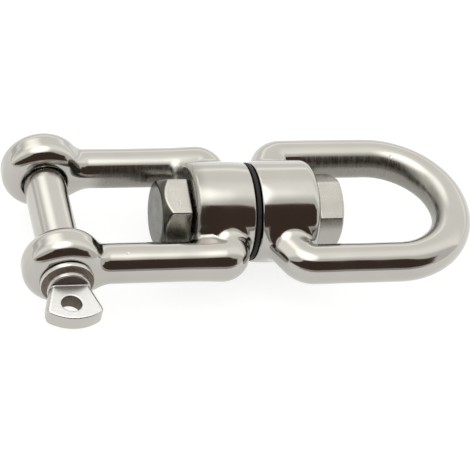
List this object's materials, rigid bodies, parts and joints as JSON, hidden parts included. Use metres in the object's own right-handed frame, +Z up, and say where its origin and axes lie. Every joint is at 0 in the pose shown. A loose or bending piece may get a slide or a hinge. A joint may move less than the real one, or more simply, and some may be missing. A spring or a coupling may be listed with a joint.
{
  "type": "jaw and eye anchor swivel",
  "caption": "Polished stainless jaw-and-eye anchor swivel: a forked jaw with a screw pin and a round-bar eye that turns endlessly against it.",
  "frame": {"origin": "middle of the part in x and y, at its lowest point, with the part lying flat", "axes": "+X from the jaw to the eye along the swivel axis, -Y towards the clevis pin's lug, +Z up"},
  "size_m": [0.12, 0.0598, 0.0258],
  "materials": {
    "polished_steel": "mirror polished stainless with fine cross marks on the arms",
    "bright_steel": "bright rolled stainless, slightly dull",
    "pin_steel": "smooth turned and polished stainless",
    "black_plastic": "dull black bearing plastic"
  },
  "bodies": {
    "jaw": {"jaw_body": "polished_steel"},
    "eye": {"eye_body": "polished_steel"},
    "bolt": {"swivel_bolt": "bright_steel", "swivel_nut": "bright_steel"},
    "ring": {"thrust_ring": "black_plastic"},
    "pin": {"clevis_pin": "pin_steel"}
  },
  "joints": [
    {"name": "eye_swivel", "type": "hinge", "parent": "jaw", "child": "eye", "pos_m": [0.00015, 0.0061, 0.0129], "axis": [1, 0, 0], "continuous": true},
    {"name": "bolt_spin", "type": "hinge", "parent": "jaw", "child": "bolt", "pos_m": [0.00015, 0.0061, 0.0129], "axis": [1, 0, 0], "continuous": true},
    {"name": "ring_spin", "type": "hinge", "parent": "jaw", "child": "ring", "pos_m": [0.00015, 0.0061, 0.0129], "axis": [1, 0, 0], "continuous": true},
    {"name": "pin_slide", "type": "slide", "parent": "jaw", "child": "pin", "axis": [0, -1, 0], "range_m": [0, 0.045]}
  ]
}
